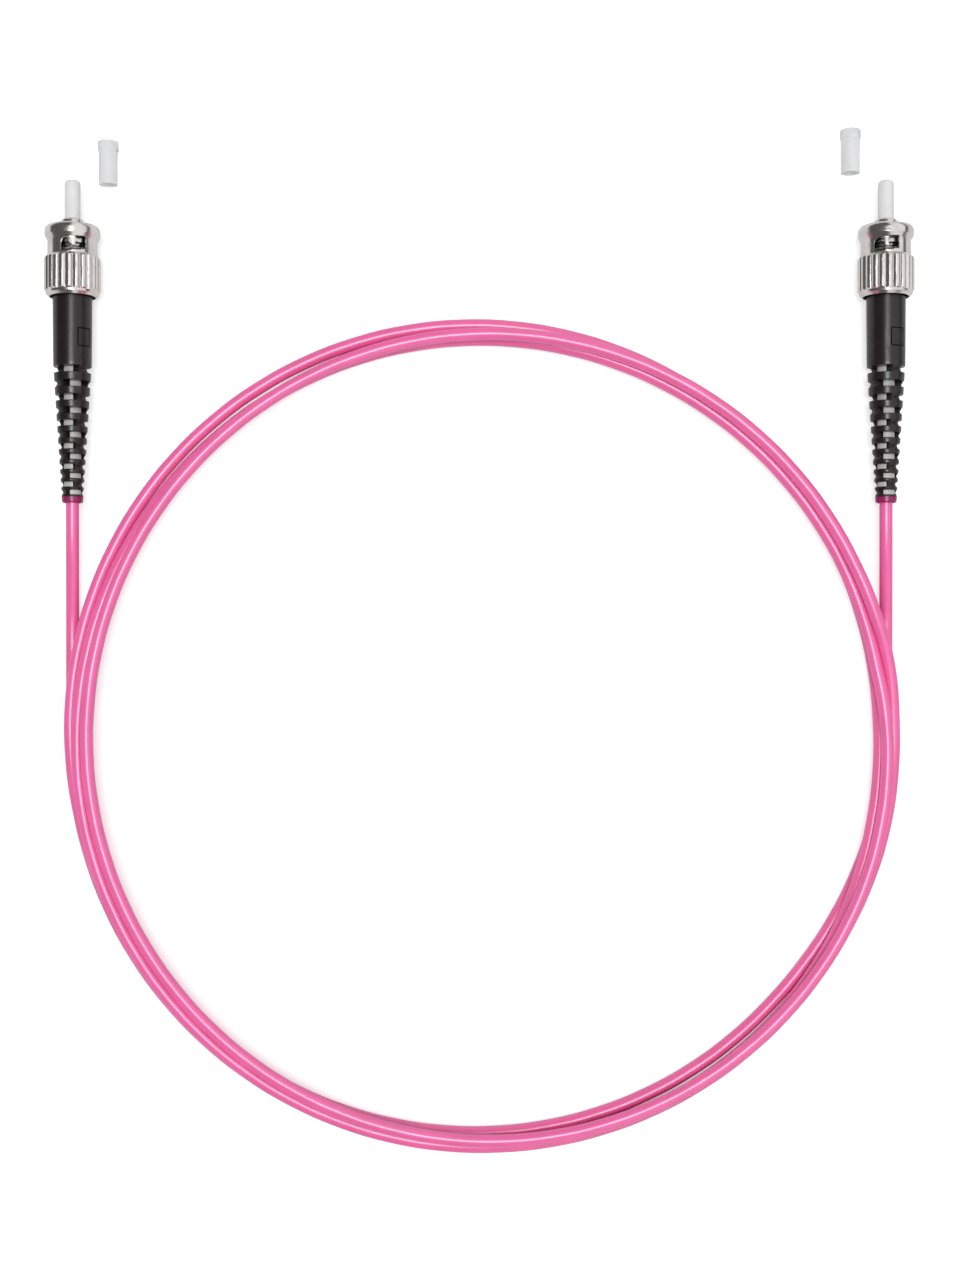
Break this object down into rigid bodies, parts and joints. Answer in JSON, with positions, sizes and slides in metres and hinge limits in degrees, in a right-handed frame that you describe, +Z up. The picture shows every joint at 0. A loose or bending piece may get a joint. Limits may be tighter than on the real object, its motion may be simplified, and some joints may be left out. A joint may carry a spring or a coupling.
{
  "type": "simplex st fibre patch cord",
  "caption": "Coiled simplex fibre patch cord with a bayonet ferrule connector on each end: sprung knurled nut, ribbed flexing boot, and loose dust caps.",
  "frame": {"origin": "on the surface that the part lies on, midway between the two connectors and midway between the boots' cable ends and the head of the right dust cap", "axes": "+X from the left connector to the right one, +Y from boot to ferrule tip, +Z up"},
  "size_m": [0.139, 0.1659, 0.0089],
  "materials": {
    "nickel": "bright nickel plate",
    "holder_metal": "bright nickel plate",
    "spring_steel": "drawn wire",
    "ring_steel": "stamped steel",
    "crimp_metal": "satin",
    "ceramic": "polished white ceramic",
    "boot_rubber": "satin moulded black",
    "liner_plastic": "light grey tube",
    "cap_plastic": "translucent soft plastic",
    "aramid": "yellow yarn",
    "buffer_plastic": "tight buffer",
    "fibre_glass": "bare glass fibre",
    "cord_jacket": "satin pink jacket"
  },
  "bodies": {
    "cord_set": {"left_ferrule": "ceramic", "left_ferrule_holder": "holder_metal", "left_spring": "spring_steel", "left_retaining_ring": "ring_steel", "left_crimp_sleeve": "crimp_metal", "left_aramid_yarn": "aramid", "left_boot": "boot_rubber", "left_boot_liner": "liner_plastic", "left_buffer": "buffer_plastic", "left_fibre": "fibre_glass", "left_dust_cap": "cap_plastic", "right_ferrule": "ceramic", "right_ferrule_holder": "holder_metal", "right_spring": "spring_steel", "right_retaining_ring": "ring_steel", "right_crimp_sleeve": "crimp_metal", "right_aramid_yarn": "aramid", "right_boot": "boot_rubber", "right_boot_liner": "liner_plastic", "right_buffer": "buffer_plastic", "right_fibre": "fibre_glass", "right_dust_cap": "cap_plastic", "cord_left_lead": "cord_jacket", "cord_coil": "cord_jacket", "cord_right_lead": "cord_jacket"},
    "left_washer_body": {"left_thrust_washer": "ring_steel"},
    "left_nut_body": {"left_coupling_nut": "nickel"},
    "right_washer_body": {"right_thrust_washer": "ring_steel"},
    "right_nut_body": {"right_coupling_nut": "nickel"}
  },
  "joints": [
    {"name": "left_nut_push", "type": "slide", "parent": "cord_set", "child": "left_washer_body", "axis": [0, 1, 0], "range_m": [0, 0.0022], "stiffness_N_per_m": 3000, "springref_m": -0.0015, "deforming": ["left_spring"]},
    {"name": "left_nut_turn", "type": "hinge", "parent": "left_washer_body", "child": "left_nut_body", "pos_m": [-0.0651, 0.005, 0.00445], "axis": [0, 1, 0], "continuous": true},
    {"name": "right_nut_push", "type": "slide", "parent": "cord_set", "child": "right_washer_body", "axis": [0, 1, 0], "range_m": [0, 0.0022], "stiffness_N_per_m": 3000, "springref_m": -0.0015, "deforming": ["right_spring"]},
    {"name": "right_nut_turn", "type": "hinge", "parent": "right_washer_body", "child": "right_nut_body", "pos_m": [0.0651, 0.005, 0.00445], "axis": [0, 1, 0], "continuous": true}
  ]
}
